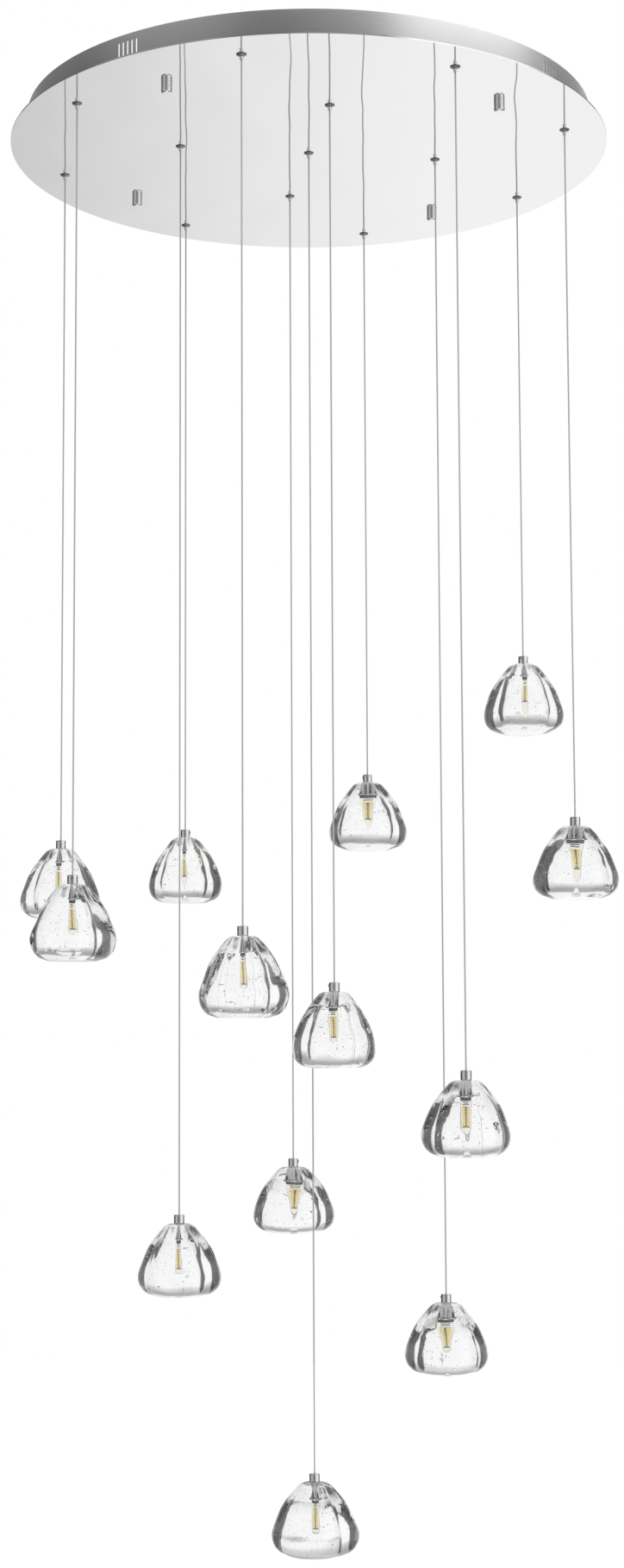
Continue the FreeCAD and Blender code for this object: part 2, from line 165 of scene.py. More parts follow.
def stops(tree, source, levels):
    """Piecewise linear grey levels of a value from 0 to 1: pairs of a position and a level."""
    ramp = add_node(tree, "ShaderNodeValToRGB")
    elements = ramp.color_ramp.elements
    while len(elements) < len(levels):
        elements.new(1.0)
    for element, (position, level) in zip(elements, levels):
        element.position = position
        element.color = (level, level, level, 1)
    connect(tree, source, ramp.inputs[0])
    return ramp.outputs["Color"]


def mix(tree, factor, first, second, blend="MIX"):
    """The colour output of a Mix node."""
    node = add_node(tree, "ShaderNodeMix", data_type="RGBA", blend_type=blend)
    connect(tree, factor, node.inputs["Factor"])
    connect(tree, first, node.inputs["A"])
    connect(tree, second, node.inputs["B"])
    return node.outputs["Result"]


def grey(level):
    """A neutral colour."""
    return (level, level, level, 1)


# %% [markdown]
# Clear glass and chrome have no colour of their own. What shows is the room: a white sheet behind
# the object, dark walls beside it and bright softboxes in front. The world's brightness follows
# the ray's direction, which is fixed to the room, so it doesn't slide when the camera moves. The
# sheet seen straight is plain white, and rough surfaces get one plain level of light.

# %% The room, by direction
# Each stop is the angle from the back wall as a share of a half turn, and its brightness
RIGHT_WALL = ((0.0, 1.0), (0.20, 1.0), (0.215, 0.16), (0.40, 0.05), (0.50, 0.90), (0.78, 1.0),
              (0.84, 0.16), (1.0, 0.10))
LEFT_WALL = ((0.0, 1.0), (0.20, 1.0), (0.215, 0.16), (0.48, 0.05), (0.58, 0.30), (0.80, 0.34),
             (0.86, 0.14), (1.0, 0.10))
# Near the horizon there is more light in front, from softboxes that don't reach up to the canopy
LOW_LIGHT = ((0.0, 0.0), (0.46, 0.0), (0.54, 0.75), (0.74, 0.95), (0.84, 0.55), (0.94, 0.45), (0.97, 0.0),
             (1.0, 0.0))
LOW_HEIGHTS = ((0.0, 1.0), (0.55, 1.0), (0.58, 0.0), (1.0, 0.0))
# Each stop is the height angle, from straight down to straight up, and a factor. The sheet fades
# a little above the horizon, under a softbox overhead. The walls' softboxes reach higher
SHEET_HEIGHTS = ((0.0, 1.0), (0.532, 1.0), (0.552, 0.72), (0.578, 0.50), (0.600, 0.40), (0.640, 0.40),
                 (0.670, 0.95), (1.0, 0.95))
WALL_HEIGHTS = ((0.0, 1.0), (0.62, 1.0), (0.74, 0.35), (1.0, 0.90))
BEHIND = 0.25
# The floor is light behind the object, in front of it and straight down, and shaded beside it
FLOOR_TURNS = ((0.0, 0.95), (0.20, 0.95), (0.23, 0.12), (0.68, 0.10), (0.78, 0.90), (1.0, 0.95))
FLOOR_SHARES = ((0.0, 1.0), (0.25, 1.0), (0.34, 0.0), (1.0, 0.0))
STRAIGHT_DOWN = ((0.0, 1.0), (0.08, 1.0), (0.16, 0.0), (1.0, 0.0))
BELOW_LEVEL = 0.92
# The canopy mirrors a ceiling's grey light too, from a little above the horizon upwards
CEILING_LIGHT = ((0.0, 0.0), (0.54, 0.0), (0.57, 0.18), (1.0, 0.18))
# The sheet falls off to the left where metal mirrors it: the sine of the side angle, and a factor
SHEET_FALL_OFF = ((0.0, 0.60), (0.22, 0.70), (0.33, 0.815), (0.44, 0.91), (0.60, 1.0), (1.0, 1.0))
FALL_OFF_REACH = 0.2
SOFT_LIGHT = 0.80

world = bpy.data.worlds.new("studio")
world.use_nodes = True
bpy.context.scene.world = world
tree = world.node_tree
tree.nodes.clear()
ray_x, ray_y, ray_z = split_axes(tree, add_node(tree, "ShaderNodeTexCoord").outputs["Generated"])
turn = maths(tree, "ARCTAN2", maths(tree, "ABSOLUTE", ray_x), ray_y)
turn_from_back = maths(tree, "DIVIDE", turn, math.pi)
height = maths(tree, "ADD", maths(tree, "DIVIDE", maths(tree, "ARCSINE", ray_z), math.pi), 0.5)
walls = mix(tree, maths(tree, "GREATER_THAN", ray_x, 0.0), stops(tree, turn_from_back, LEFT_WALL),
            stops(tree, turn_from_back, RIGHT_WALL))
low_light = mix(tree, 1.0, stops(tree, turn_from_back, LOW_LIGHT), stops(tree, height, LOW_HEIGHTS),
                "MULTIPLY")
walls = mix(tree, 1.0, walls, low_light, "LIGHTEN")
heights = mix(tree, maths(tree, "LESS_THAN", turn_from_back, BEHIND), stops(tree, height, WALL_HEIGHTS),
              stops(tree, height, SHEET_HEIGHTS))
ground = mix(tree, stops(tree, height, STRAIGHT_DOWN), stops(tree, turn_from_back, FLOOR_TURNS),
             grey(BELOW_LEVEL))
room = mix(tree, stops(tree, height, FLOOR_SHARES), mix(tree, 1.0, walls, heights, "MULTIPLY"), ground)
side_share = maths(tree, "MULTIPLY_ADD", ray_x, 0.5 / FALL_OFF_REACH, 0.5)
light_path = add_node(tree, "ShaderNodeLightPath")
glossy, bent = light_path.outputs["Is Glossy Ray"], light_path.outputs["Is Transmission Ray"]
# A ray that glass bends counts as glossy too, so what is glossy and not bent is mirrored
mirrored = maths(tree, "MAXIMUM", maths(tree, "SUBTRACT", glossy, bent), 0.0)
fall_off = mix(tree, mirrored, grey(1.0), stops(tree, side_share, SHEET_FALL_OFF))
room = mix(tree, mirrored, room, stops(tree, height, CEILING_LIGHT), "ADD")
room = mix(tree, 1.0, room, fall_off, "MULTIPLY")
lit = mix(tree, maths(tree, "MAXIMUM", glossy, bent), grey(SOFT_LIGHT), room)
background = add_node(tree, "ShaderNodeBackground")
connect(tree, mix(tree, light_path.outputs["Is Camera Ray"], lit, grey(1.0)), background.inputs["Color"])
connect(tree, background.outputs[0], add_node(tree, "ShaderNodeOutputWorld").inputs["Surface"])

# %% [markdown]
# A photographer's softbox is an area lamp here. Two large ones give the rough surfaces a light
# side and a soft shadow. Glass and chrome see the room above instead, so the lamps are hidden
# from mirrored and bent rays.

# %% Soft lamps
ROOM_HEIGHT = 2.4
LAMP_TARGET = Vector((0, 0, -1.0))


def soft_lamp(name, place, size, power):
    """A square area lamp that points at the middle of the object."""
    data = bpy.data.lights.new(name, "AREA")
    data.size = size
    data.energy = power
    lamp = bpy.data.objects.new(name, data)
    lamp.location = place
    lamp.rotation_euler = (LAMP_TARGET - Vector(place)).to_track_quat("-Z", "Y").to_euler()
    lamp.visible_camera = lamp.visible_glossy = lamp.visible_transmission = False
    bpy.context.scene.collection.objects.link(lamp)


soft_lamp("softbox_right", (2.4, -2.6, 0.2), 1.6, 22)
soft_lamp("softbox_left", (-2.6, -2.2, -0.4), 1.6, 10)

# %% [markdown]
# The floor is pale and soft. It adds a little light of its own for the camera, so that it reaches
# white where nothing shades it and still keeps the object's shadow. From underneath it is
# see-through, because a hanging lamp is looked at from below.

# %% Floor
FLOOR_REACH = 6.0
FLOOR_COLOUR = grey(0.86)
FLOOR_LIFT = 0.45

floor_mesh = bpy.data.meshes.new("floor")
corner_signs = np.array(((-1, -1), (1, -1), (1, 1), (-1, 1)))
floor_points = np.column_stack([corner_signs * FLOOR_REACH, np.full(4, -ROOM_HEIGHT)])
floor_mesh.from_pydata(floor_points.tolist(), [], [(0, 1, 2, 3)])
floor = bpy.data.objects.new("floor", floor_mesh)
bpy.context.scene.collection.objects.link(floor)
floor.visible_glossy = floor.visible_transmission = False
floor_material = principled("pale_floor", Base_Color=FLOOR_COLOUR, Roughness=0.9,
                            Emission_Color=grey(1.0))
tree = floor_material.node_tree
camera_ray = add_node(tree, "ShaderNodeLightPath").outputs["Is Camera Ray"]
to_shader(floor_material, "Emission Strength", maths(tree, "MULTIPLY", camera_ray, FLOOR_LIFT))
sides = add_node(tree, "ShaderNodeMixShader")
connect(tree, add_node(tree, "ShaderNodeNewGeometry").outputs["Backfacing"], sides.inputs[0])
connect(tree, tree.nodes["Principled BSDF"].outputs[0], sides.inputs[1])
connect(tree, add_node(tree, "ShaderNodeBsdfTransparent").outputs[0], sides.inputs[2])
connect(tree, sides.outputs[0], tree.nodes["Material Output"].inputs["Surface"])
floor_mesh.materials.append(floor_material)

# %% [markdown]
# Every finish starts from one Principled shader. A value that is the same all over goes on the
# shader's own socket. What varies over the surface comes from node groups, built once here and
# placed in each material with its own values.

# %% Materials and their shared groups
def new_group(name, inputs, outputs):
    """A shader node group with a place and named numbers as its inputs, and numbers as its outputs.
    Gives the group, and the sockets inside it that bring its inputs and take its outputs."""
    group = bpy.data.node_groups.new(name, "ShaderNodeTree")
    group.interface.new_socket("Place", in_out="INPUT", socket_type="NodeSocketVector")
    for sockets, side in ((inputs, "INPUT"), (outputs, "OUTPUT")):
        for socket in sockets:
            group.interface.new_socket(socket, in_out=side, socket_type="NodeSocketFloat")
    return group, add_node(group, "NodeGroupInput").outputs, add_node(group, "NodeGroupOutput").inputs


def place_group(material, group, **values):
    """Puts a group into a material, with its inputs set or linked by name, and gives its outputs."""
    tree = material.node_tree
    node = add_node(tree, "ShaderNodeGroup", node_tree=group)
    for socket, value in values.items():
        connect(tree, value, node.inputs[socket.replace("_", " ")])
    return node.outputs


def object_place(material):
    """The point on the piece, which is the model's own place because every piece sits at the origin."""
    return add_node(material.node_tree, "ShaderNodeTexCoord").outputs["Object"]


def add_bump(material, height, depth):
    """Sends a height to the shader's normal through a Bump node, with its depth in metres."""
    tree = material.node_tree
    bump = add_node(tree, "ShaderNodeBump")
    bump.inputs["Distance"].default_value = depth
    connect(tree, height, bump.inputs["Height"])
    to_shader(material, "Normal", bump.outputs["Normal"])


# Worn polish: broad smudges and fine hairline scratches between a lowest and a highest roughness
HAIRLINE_SCALES = (2600.0, 2600.0, 160.0)

polish, given, wanted = new_group("worn_polish", ("Smudge Scale", "Lowest", "Highest"), ("Roughness",))
smudges = noise(polish, given["Place"], given["Smudge Scale"], 3.0)
hairs = noise(polish, vector_maths(polish, "MULTIPLY", given["Place"], HAIRLINE_SCALES), 1.0)
spread = maths(polish, "SUBTRACT", given["Highest"], given["Lowest"])
both = maths(polish, "MULTIPLY", smudges, hairs)
connect(polish, maths(polish, "MULTIPLY_ADD", both, spread, given["Lowest"]), wanted["Roughness"])

# Brushed grain: noise drawn out along one axis of the given coordinates, so that it makes lines
brushed, given, wanted = new_group("brushed_grain", ("Along", "Across"), ("Grain",))
drawn_out = add_node(brushed, "ShaderNodeCombineXYZ")
for axis, scale in (("X", "Along"), ("Y", "Across"), ("Z", "Across")):
    connect(brushed, given[scale], drawn_out.inputs[axis])
stretched = vector_maths(brushed, "MULTIPLY", given["Place"], drawn_out.outputs[0])
connect(brushed, noise(brushed, stretched, 1.0, 4.0), wanted["Grain"])

# Moulded skin: the fine sparkle of a moulded plastic and the slow waviness under it
SLOW_SCALE, SLOW_SHARE = 60.0, 0.5

moulded, given, wanted = new_group("moulded_skin", ("Grain Scale",), ("Height", "Tone"))
fine = noise(moulded, given["Place"], given["Grain Scale"])
slow = noise(moulded, given["Place"], SLOW_SCALE)
connect(moulded, maths(moulded, "MULTIPLY_ADD", slow, SLOW_SHARE, fine), wanted["Height"])
connect(moulded, slow, wanted["Tone"])

# %% [markdown]
# The metals. Chrome and the mirror plate are nearly smooth, with the worn polish on top, and the
# cap nuts are duller. The band is brushed round its length, so its grain runs along the angle
# round the canopy.

# %% Metals
def polished(name, colour, lowest, highest, smudge_scale=160.0, wave_scale=90.0, wave_depth=0.02 * MM):
    """A polished metal: worn polish in its roughness, and a slow waviness in its surface."""
    material = principled(name, Base_Color=grey(colour), Metallic=1.0)
    place = object_place(material)
    worn = place_group(material, polish, Place=place, Smudge_Scale=smudge_scale, Lowest=lowest,
                       Highest=highest)
    to_shader(material, "Roughness", worn["Roughness"])
    add_bump(material, noise(material.node_tree, place, wave_scale, 1.0), wave_depth)
    return material


mirror_steel = polished("mirror_steel", 0.86, 0.01, 0.05, 9.0, 7.0, 1.6 * MM)
chrome = polished("polished_chrome", 0.82, 0.04, 0.14)
satin_chrome = polished("satin_chrome", 0.52, 0.08, 0.22)
dark_chrome = polished("dark_chrome", 0.30, 0.06, 0.20)
nut_chrome = polished("nut_chrome", 0.90, 0.26, 0.38)

# A gland's disc is dark chrome and its stem gets a near-white colour that is a painted highlight, so the
# finish changes with the height
STEM_LENGTH = 5 * MM
DISC_COLOUR, STEM_HIGHLIGHT_COLOUR = grey(0.24), grey(0.95)

gland_chrome = polished("gland_chrome", 0.30, 0.06, 0.20)
tree = gland_chrome.node_tree
stem_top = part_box("cable_glands")[0][2] + STEM_LENGTH
on_stem = maths(tree, "LESS_THAN", split_axes(tree, object_place(gland_chrome))["Z"], stem_top)
# The stem's near-white colour is a painted highlight
to_shader(gland_chrome, "Base Color", mix(tree, on_stem, DISC_COLOUR, STEM_HIGHLIGHT_COLOUR))

# Painted shade: the band is a little darker towards its lower edge, for the brighter light its upper part
# mirrors: the share of its height from the ceiling
BAND_PAINTED_SHADE = ((0.0, 1.0), (0.15, 0.93), (1.0, 0.72))
GRAIN_TONES = (0.8, 1.15)
GRAIN_DEPTH = 0.02 * MM


def brushed_metal(name, colour, round_the_canopy, along, across, lowest, highest):
    """A brushed metal: the grain drives both roughness and a shallow bump. Round the canopy the grain
    follows the angle, and elsewhere it follows the X axis."""
    material = principled(name, Metallic=1.0)
    tree = material.node_tree
    place = object_place(material)
    if round_the_canopy:
        x, y, z = split_axes(tree, place)
        rolled_out = add_node(tree, "ShaderNodeCombineXYZ")
        connect(tree, maths(tree, "ARCTAN2", y, x), rolled_out.inputs["X"])
        connect(tree, z, rolled_out.inputs["Y"])
        place = rolled_out.outputs[0]
    grain = place_group(material, brushed, Place=place, Along=along, Across=across)["Grain"]
    to_shader(material, "Roughness", maths(tree, "MULTIPLY_ADD", grain, highest - lowest, lowest))
    tone = mix(tree, grain, *(grey(colour * share) for share in GRAIN_TONES))
    if round_the_canopy:
        # Painted shade: darker towards the band's lower edge
        depth_share = maths(tree, "DIVIDE", z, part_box("rim_band")[0][2])
        tone = mix(tree, 1.0, tone, stops(tree, depth_share, BAND_PAINTED_SHADE), "MULTIPLY")
    to_shader(material, "Base Color", tone)
    add_bump(material, grain, GRAIN_DEPTH)
    return material


brushed_steel = brushed_metal("brushed_steel", 0.92, True, 14.0, 2600.0, 0.22, 0.42)
zinc_steel = brushed_metal("zinc_steel", 0.66, False, 40.0, 500.0, 0.28, 0.55)

# %% [markdown]
# The plastics hide in the canopy: the driver's case, the terminal block, the leads. The sockets
# are a grey ceramic with the same moulded skin.

# %% Plastics and ceramic
DARKER = 0.92


def moulded_plastic(name, colour, roughness, grain_scale=1800.0, depth=0.03 * MM):
    """A moulded plastic: a fine grain in its surface, and a tone that drifts a little darker."""
    material = principled(name, Roughness=roughness)
    surface = place_group(material, moulded, Place=object_place(material), Grain_Scale=grain_scale)
    darker = tuple(channel * DARKER for channel in colour[:3]) + (1,)
    to_shader(material, "Base Color", mix(material.node_tree, surface["Tone"], darker, colour))
    add_bump(material, surface["Height"], depth)
    return material


white_plastic = moulded_plastic("white_plastic", (0.84, 0.84, 0.81, 1), 0.42)
grey_plastic = moulded_plastic("grey_plastic", (0.66, 0.66, 0.65, 1), 0.50)
wire_jacket = moulded_plastic("wire_jacket", (0.72, 0.71, 0.68, 1), 0.30, 900.0, 0.02 * MM)
ceramic = moulded_plastic("socket_ceramic", (0.30, 0.30, 0.31, 1), 0.35)

# %% [markdown]
# A suspension cable is a braid of fine silver wires in a clear jacket. At two millimetres the
# braid is far too fine to model, so two families of slanted lines on the tube's own UV map
# cross each other, and a smooth coat lies over them.

# %% Cable finish
STRANDS_ROUND = 8
BRAID_PITCH, BRAID_DEPTH = 5 * MM, 0.1 * MM
JACKET_COLOUR, JACKET_ROUGHNESS = (0.60, 0.58, 0.54, 1), 0.3
GAP_COLOUR, GAP_ROUGHNESS = (0.25, 0.24, 0.22, 1), 0.5

cable_jacket = principled("cable_jacket", Metallic=0.1, Coat_Weight=0.8, Coat_Roughness=0.08)
tree = cable_jacket.node_tree
on_tube = split_axes(tree, add_node(tree, "ShaderNodeUVMap", uv_map="round_and_along").outputs[0])
around = maths(tree, "MULTIPLY", on_tube["X"], 2 * math.pi * STRANDS_ROUND)
along = maths(tree, "MULTIPLY", on_tube["Y"], 2 * math.pi / BRAID_PITCH)
left_hand = maths(tree, "SINE", maths(tree, "ADD", around, along))
right_hand = maths(tree, "SINE", maths(tree, "SUBTRACT", around, along))
weave = maths(tree, "MULTIPLY_ADD", maths(tree, "MAXIMUM", left_hand, right_hand), 0.5, 0.5)
to_shader(cable_jacket, "Base Color", mix(tree, weave, GAP_COLOUR, JACKET_COLOUR))
to_shader(cable_jacket, "Roughness",
          maths(tree, "MULTIPLY_ADD", weave, JACKET_ROUGHNESS - GAP_ROUGHNESS, GAP_ROUGHNESS))
add_bump(cable_jacket, weave, BRAID_DEPTH)

# %% [markdown]
# Cast glass isn't quite even: it sets with a slow waviness that makes everything behind it swim.
# A shallow bump gives that between the larger waves of the mesh. The flat top is ground, so it
# scatters light, and the lamp's capsule is a clear resin that bends light a little less than
# the glass round it.

# %% Glass and capsule finishes
GLASS_INDEX = 1.5
# The capsule's index against the glass round it
CAPSULE_INDEX = 0.90


def wavy_glass(name, colour, roughness, index, wave_scale, wave_depth):
    """A clear material whose surface has a slow waviness of the given scale and depth."""
    material = principled(name, Base_Color=colour, Roughness=roughness, IOR=index, Transmission_Weight=1.0)
    add_bump(material, noise(material.node_tree, object_place(material), wave_scale), wave_depth)
    return material


clear_glass = wavy_glass("clear_glass", (0.985, 0.99, 0.99, 1), 0.0, GLASS_INDEX, 70.0, 0.25 * MM)
ground_glass = wavy_glass("ground_glass", grey(0.93), 0.42, GLASS_INDEX, 900.0, 0.08 * MM)
capsule_clear = wavy_glass("lamp_capsule", (0.93, 0.90, 0.83, 1), 0.02, CAPSULE_INDEX, 300.0, 0.02 * MM)

# %% [markdown]
# The light bars are rows of small diodes under a yellow phosphor, which shows as a faint beading
# along the bar. The glass round the bar keeps the studio's soft light out of this kind of render,
# so the bar gives off some of its own colour as painted light, in place of the light it misses.

# %% Lamp finishes
DIODE_PITCH, BEAD_DEPTH = 2.6 * MM, 0.15 * MM
BETWEEN_COLOUR, DIODE_COLOUR = (0.72, 0.60, 0.33, 1), (1.0, 0.86, 0.46, 1)
# Painted light: the bar's emission, in its own colour, stands in for the light the glass keeps out
BAR_PAINTED_LIGHT = 0.6

phosphor = principled("phosphor", Roughness=0.55, Emission_Strength=BAR_PAINTED_LIGHT)
tree = phosphor.node_tree
along = maths(tree, "MULTIPLY", split_axes(tree, object_place(phosphor))["Z"], 2 * math.pi / DIODE_PITCH)
beading = maths(tree, "MULTIPLY_ADD", maths(tree, "SINE", along), 0.5, 0.5)
bar_colour = mix(tree, beading, BETWEEN_COLOUR, DIODE_COLOUR)
# The bar's colour is also given off as painted light
for socket in ("Base Color", "Emission Color"):
    to_shader(phosphor, socket, bar_colour)
add_bump(phosphor, beading, BEAD_DEPTH)
strip_ceramic = moulded_plastic("strip_ceramic", (0.80, 0.79, 0.76, 1), 0.40)
loop_metal = polished("lamp_loops", 0.42, 0.25, 0.45, 200.0, 200.0)

# %% [markdown]
# New pieces are grids of points from numpy. A grid whose rows are closed rings, from one end to
# the other, becomes a skin with a fan over each end, so nothing is left open.

# %% Meshes from arrays
def ring_quads(rows, columns):
    """The quads between neighbouring rings. They face outwards where the rings run anticlockwise
    seen from above and the rows run downwards."""
    row = np.arange(rows - 1)[:, None] * columns
    column = np.arange(columns)[None, :]
    ahead = (column + 1) % columns
    corners = (row + column, row + columns + column, row + columns + ahead, row + ahead)
    return np.stack(corners, axis=-1).reshape(-1, 4)


def skin(rings):
    """The (points, quads, triangles) of a stack of rings, rows by columns by 3, with a fan of
    triangles over each end."""
    rows, columns = rings.shape[:2]
    points = np.vstack([rings.reshape(-1, 3), rings[0].mean(0), rings[-1].mean(0)])
    column = np.arange(columns)
    ahead = (column + 1) % columns
    last = (rows - 1) * columns
    top = np.stack([column, ahead, np.full(columns, rows * columns)], axis=-1)
    end = np.stack([last + ahead, last + column, np.full(columns, rows * columns + 1)], axis=-1)
    return points, ring_quads(rows, columns), np.vstack([top, end])


def join(shapes):
    """Several shapes as one, each shape's faces counted on from the points before it."""
    counts = [len(points) for points, quads, triangles in shapes]
    starts = np.cumsum([0] + counts[:-1])
    return (np.vstack([points for points, quads, triangles in shapes]),
            np.vstack([quads + start for (points, quads, triangles), start in zip(shapes, starts)]),
            np.vstack([triangles + start for (points, quads, triangles), start in zip(shapes, starts)]))


def moved(shape, shift):
    """A shape moved by a shift."""
    points, quads, triangles = shape
    return points + np.array(shift), quads, triangles


def make_piece(name, shape, materials, body, node, sharp_angle=None):
    """A smooth mesh piece from a shape in metres that rides on a body and replaces a node."""
    points, quads, triangles = shape
    mesh = bpy.data.meshes.new(name)
    mesh.from_pydata(points.tolist(), [], quads.tolist() + triangles.tolist())
    mesh.polygons.foreach_set("use_smooth", np.ones(len(mesh.polygons), bool))
    if sharp_angle:
        mesh.set_sharp_from_angle(angle=math.radians(sharp_angle))
    for material in materials:
        mesh.materials.append(material)
    piece = bpy.data.objects.new(name, mesh)
    bpy.context.scene.collection.objects.link(piece)
    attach(piece, body)
    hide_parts(node)
    return piece


def full_turn(columns):
    """Angles spread evenly round a full turn."""
    return np.linspace(0, 2 * np.pi, columns, endpoint=False)


def level_rings(radius, level, angle):
    """Rows of points: the radius times the cosine and sine of the angle, at each row's level."""
    return np.stack([radius * np.cos(angle), radius * np.sin(angle),
                     np.repeat(level[:, None], len(angle), axis=1)], axis=-1)


def turned(profile, columns):
    """A profile of (radius, height) pairs, from the top down, turned about an upright axis."""
    radius, level = np.array(profile, float).T
    return skin(level_rings(radius[:, None], level, full_turn(columns)))


CORNER_POINTS = 5
SIDE_SHARE = 0.45


def eased(profile, ease):
    """A profile whose corners are rounded: each corner gives way to a quadratic curve that starts and
    ends at the ease's distance from it, or at under half the side's length."""
    points = np.array(profile, float)
    made = [points[:1]]
    share = np.linspace(0, 1, CORNER_POINTS)[:, None]
    for before, corner, after in zip(points, points[1:], points[2:]):
        back, ahead = before - corner, after - corner
        start = corner + back * min(SIDE_SHARE, ease / np.linalg.norm(back))
        end = corner + ahead * min(SIDE_SHARE, ease / np.linalg.norm(ahead))
        made.append((1 - share) ** 2 * start + 2 * share * (1 - share) * corner + share ** 2 * end)
    return np.vstack(made + [points[-1:]])


# %% [markdown]
# The cables first, because their length is fixed: a cable hangs taut from its gland down into
# its lamp holder. Its route is one smooth spline with few points, straight here because a glass
# pulls on it.

# %% Cables
CABLE_COLUMNS = 16
SHORT_RUN_DIAMETERS = 6


def smooth_route(points):
    """The points of a NURBS spline of order 3 through its end points, as Blender evaluates it."""
    curve = bpy.data.curves.new("route", "CURVE")
    curve.dimensions = "3D"
    spline = curve.splines.new("NURBS")
    spline.points.add(len(points) - 1)
    for point, place in zip(spline.points, points):
        point.co = (*place, 1)
    spline.order_u = 3
    spline.use_endpoint_u = True
    holder = bpy.data.objects.new("route", curve)
    mesh = bpy.data.meshes.new_from_object(holder)
    route = np.array([vertex.co for vertex in mesh.vertices])
    bpy.data.objects.remove(holder)
    bpy.data.curves.remove(curve)
    bpy.data.meshes.remove(mesh)
    return route


def upright_tube(route, radius, columns):
    """A level ring of points round each point of a route that runs straight down."""
    angle = full_turn(columns)
    ring = np.stack([np.cos(angle), np.sin(angle), np.zeros(columns)], axis=-1) * radius
    return skin(route[:, None, :] + ring)


def read_all(items, name, width=1, kind=int):
    """One property of all the items of a mesh, as an array."""
    values = np.empty(len(items) * width, kind)
    items.foreach_get(name, values)
    return values


def lay_out(mesh, centre, top):
    """Writes the UV map of an upright tube: the share of a turn round it, and the metres down it."""
    places = read_all(mesh.vertices, "co", 3, float).reshape(-1, 3)
    x, y, z = places[read_all(mesh.loops, "vertex_index")].T
    share = np.arctan2(y - centre[1], x - centre[0]) / (2 * np.pi) % 1
    starts = read_all(mesh.polygons, "loop_start")
    counts = read_all(mesh.polygons, "loop_total")
    highest = np.repeat(np.maximum.reduceat(share, starts), counts)
    share = np.where(highest - share > 0.5, share + 1, share)
    layer = mesh.uv_layers.new(name="round_and_along")
    layer.data.foreach_set("uv", np.column_stack([share, top - z]).ravel())


for label in LABELS:
    low, high = (np.array(corner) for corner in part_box("cable_" + label))
    x, y = (low[:2] + high[:2]) / 2
    diameter = high[0] - low[0]
    near = SHORT_RUN_DIAMETERS * diameter
    levels = (high[2], high[2] - near, low[2] + near, low[2])
    route = smooth_route([(x, y, level) for level in levels])
    shape = upright_tube(route, diameter / 2, CABLE_COLUMNS)
    cable = make_piece("suspension_cable_" + label, shape, [cable_jacket], "cable_" + label,
                       "cable_" + label)
    lay_out(cable.data, (x, y), high[2])
    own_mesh(cable)

# %% [markdown]
# A glass is a casting of three lobes that meet in creases. Seen from above, each lobe is a round
# arc. Its circle is set by two lengths: how far the lobe's crest and its crease lie from the
# middle. The outline from top to base gives both, and a smooth curve runs through its points.
# These are the model's own measures, written again here because a loft can't be read back.

# %% The glasses' measures
GLASS_WIDTH, GLASS_HEIGHT = 110 * MM, 96 * MM
CREST_TO_WIDTH = 1.02
SIDE_LOBE = 0.985
WIDTHS = (1.04, 1.00, 1.03, 0.98, 0.965, 1.025, 1.035, 0.965, 0.98, 0.99, 0.985, 0.985, 1.015)
GLASS_HEIGHTS = (0.93, 0.93, 0.91, 0.94, 0.97, 1.00, 1.01, 0.96, 0.97, 0.98, 0.99, 0.93, 0.96)
LEFT_CREASES = (-64, -54, -63, -57, -43, -50, -57, -48, -41, -66, -68, -55, -62)
RIGHT_CREASES = (41, 57, 48, 46, 67, 42, 48, 47, 69, 38, 37, 66, 54)
# Share of the height from the top, share of the widest crest, share of that crest at a crease
OUTLINE = np.array((
    (0.00, 0.27, 0.92), (0.04, 0.38, 0.90), (0.17, 0.57, 0.885), (0.34, 0.77, 0.875), (0.52, 0.90, 0.875),
    (0.71, 1.00, 0.875), (0.86, 0.95, 0.885), (0.955, 0.79, 0.91), (1.00, 0.56, 0.94)))

# %% [markdown]
# Two things make the light lively. A crease isn't a sharp line but a narrow rounded groove, which
# shows as a thin dark line beside a white band. And the front lobe isn't quite round: where it
# is rounder, it works as a stronger lens and the lamp behind it looks wider. How wide each lamp
# looks in the photograph, high up and low down in its glass, sets that roundness.

# %% Shape of the lobes
GROOVE = 0.05
# How many times as wide the holder's ring looks, and further down the lamp
LOOKS_ABOVE = (1.08, 1.65, 1.7, 0.8, 1.25, 0.9, 1.7, 0.7, 0.95, 0.9, 0.8, 1.3, 1.65)
LOOKS_BELOW = (1.15, 1.2, 1.2, 0.95, 1.12, 0.95, 1.25, 0.95, 0.95, 1.1, 0.95, 1.2, 1.2)
LENS_SPAN = (0.28, 0.68)
SEEN_HALF_WIDTHS = np.array((7.0, 4.5)) * MM
WIDEST_SEEN = 0.30
WAY_ABOVE = 0.6
WIDER_WAVES, NARROWER_WAVES = 5, 8
# The casting's waves: from 2 to 10 of them round it, and a few down it
WAVES_ROUND = range(2, 11)
WAVES_DOWN = (0.5, 2.5)
WAVE_POWER = 1.5
# No two castings are alike: some are nearly even, and others swim a good deal
WAVE_SIZES = (0.014, 0.011, 0.013, 0.020, 0.024, 0.018, 0.013, 0.022, 0.026, 0.026, 0.024, 0.024, 0.022)


def round_lobe(angles, start, end, crest, crease_share):
    """The distance from the middle to a circle that passes through two creases and a crest.
    With s the crease's share of the crest and h half the lobe's angle, the circle's middle lies
    (1 - s squared) / (2 (1 - s cos h)) crests from the glass's middle."""
    share = (crease_share / crest)[:, None]
    half = math.radians(end - start) / 2
    away = angles - math.radians(start + end) / 2
    offset = (1 - share ** 2) / (2 * (1 - share * math.cos(half)))
    across = offset * np.sin(away)
    return crest * (offset * np.cos(away) + np.sqrt(np.maximum((1 - offset) ** 2 - across ** 2, 0)))


def soft_larger(first, second, softness):
    """The larger of two arrays, rounded off where they are closer together than the softness."""
    nearness = np.maximum(1 - np.abs(first - second) / softness, 0)
    return np.maximum(first, second) + nearness ** 2 * softness / 4


